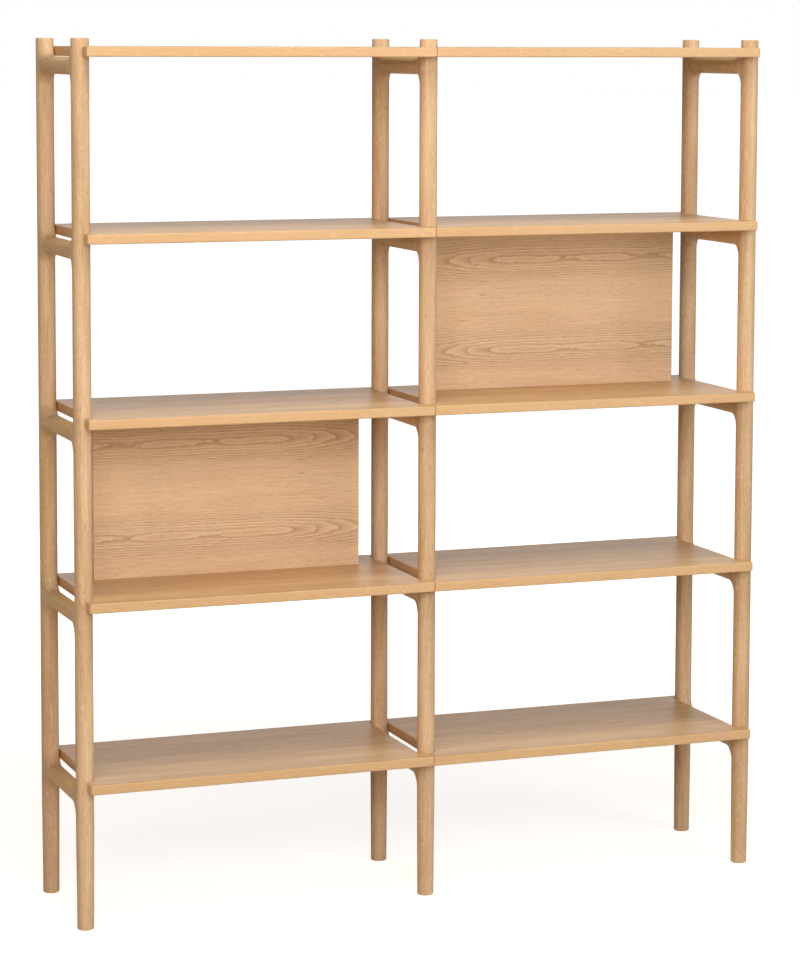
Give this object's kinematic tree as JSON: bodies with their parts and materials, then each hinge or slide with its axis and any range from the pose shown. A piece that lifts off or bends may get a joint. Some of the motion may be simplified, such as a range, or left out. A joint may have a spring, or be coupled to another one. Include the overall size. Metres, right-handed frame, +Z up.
{
  "type": "open shelving unit",
  "caption": "Tall open oak shelving unit: ladder frames of round posts and rungs carry notched shelf boards in bays, with a back panel in some compartments.",
  "frame": {"origin": "on the floor, under the middle of the shelf boards", "axes": "+X along the shelves to the right as seen from the front, +Y to the back, +Z up"},
  "size_m": [1.64, 0.4, 1.95],
  "materials": {
    "posts": "satin",
    "rungs": "satin",
    "boards": "satin",
    "panels": "satin",
    "loose_tenons": "matte"
  },
  "bodies": {
    "root": {"left_front_post": "posts", "left_front_branches": "posts", "left_rear_post": "posts", "left_rear_branches": "posts", "left_rung_1": "rungs", "left_rung_2": "rungs", "left_rung_3": "rungs", "left_rung_4": "rungs", "left_rung_5": "rungs", "centre_front_post": "posts", "centre_front_branches": "posts", "centre_rear_post": "posts", "centre_rear_branches": "posts", "centre_rung_1": "rungs", "centre_rung_2": "rungs", "centre_rung_3": "rungs", "centre_rung_4": "rungs", "centre_rung_5": "rungs", "right_front_post": "posts", "right_front_branches": "posts", "right_rear_post": "posts", "right_rear_branches": "posts", "right_rung_1": "rungs", "right_rung_2": "rungs", "right_rung_3": "rungs", "right_rung_4": "rungs", "right_rung_5": "rungs", "left_bay_shelf_1": "boards", "left_bay_shelf_2": "boards", "left_bay_shelf_3": "boards", "left_bay_shelf_4": "boards", "left_bay_shelf_5": "boards", "right_bay_shelf_1": "boards", "right_bay_shelf_2": "boards", "right_bay_shelf_3": "boards", "right_bay_shelf_4": "boards", "right_bay_shelf_5": "boards", "left_bay_back_panel": "panels", "right_bay_back_panel": "panels", "shelf_tenons": "loose_tenons", "panel_tenons": "loose_tenons"}
  },
  "joints": []
}
